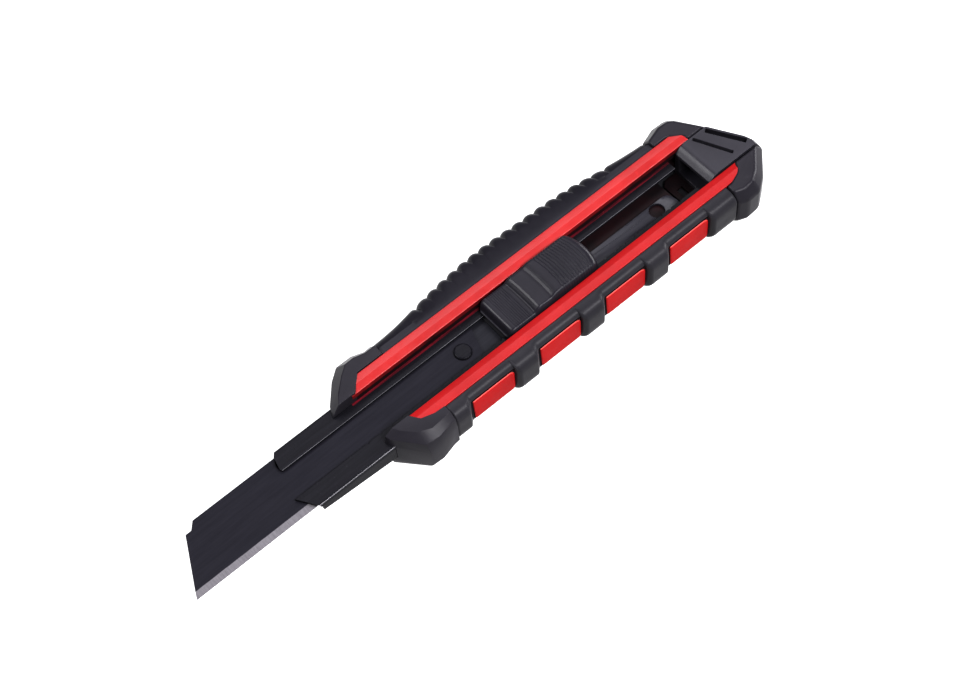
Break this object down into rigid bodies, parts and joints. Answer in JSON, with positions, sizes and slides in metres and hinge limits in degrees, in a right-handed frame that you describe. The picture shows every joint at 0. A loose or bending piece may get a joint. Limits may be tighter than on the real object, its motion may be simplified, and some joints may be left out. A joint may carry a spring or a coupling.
{
  "type": "utility knife",
  "caption": "Retractable snap-off utility knife with a steel blade rail, ribbed thumb slider, rubber corner bumpers, red side windows and a pull-out end cap.",
  "frame": {"origin": "centre of the bounding box footprint on the flat back face", "axes": "+X along the length away from the blade tip, +Y towards the spine, +Z out of the slider face"},
  "size_m": [0.1958, 0.0386, 0.0152],
  "materials": {
    "red_plastic": "satin gloss moulded plastic",
    "soft_grip": "matt soft-touch overmould",
    "bumper_rubber": "satin soft-touch overmould",
    "black_plastic": "fine-textured moulded plastic",
    "slider_plastic": "satin moulded plastic",
    "cap_plastic": "satin moulded plastic",
    "black_rail": "black coated pressed steel",
    "black_blade": "black coated blade with a bare ground bevel",
    "carrier_steel": "pressed spring steel",
    "fastener_steel": "zinc plated"
  },
  "bodies": {
    "handle": {"handle_body": "red_plastic", "spine_grip": "soft_grip", "finger_grip": "soft_grip", "front_spine_bumper": "bumper_rubber", "front_edge_bumper": "bumper_rubber", "rear_spine_bumper": "bumper_rubber", "rear_edge_bumper": "bumper_rubber", "back_cover": "black_plastic", "cover_screws": "fastener_steel", "blade_rail": "black_rail", "rail_rivets": "fastener_steel", "spare_blades": "black_blade", "magazine_leaf": "fastener_steel"},
    "slider": {"blade": "black_blade", "blade_carrier": "carrier_steel", "carrier_pin": "black_rail", "slider_base": "black_plastic", "base_rivet": "fastener_steel"},
    "thumb_button": {"thumb_slider": "slider_plastic", "lock_pawl": "carrier_steel", "button_spring": "fastener_steel"},
    "end_cap": {"end_cap": "cap_plastic", "cap_tongue": "black_plastic"}
  },
  "joints": [
    {"name": "blade_slide", "type": "slide", "parent": "handle", "child": "slider", "axis": [1, 0, 0], "range_m": [-0.037, 0.038]},
    {"name": "thumb_press", "type": "slide", "parent": "slider", "child": "thumb_button", "axis": [0, 0, -1], "range_m": [0, 0.0008], "stiffness_N_per_m": 500, "springref_m": -0.001, "deforming": ["button_spring"]},
    {"name": "end_cap_pull", "type": "slide", "parent": "handle", "child": "end_cap", "axis": [1, 0, 0], "range_m": [0, 0.014]}
  ]
}
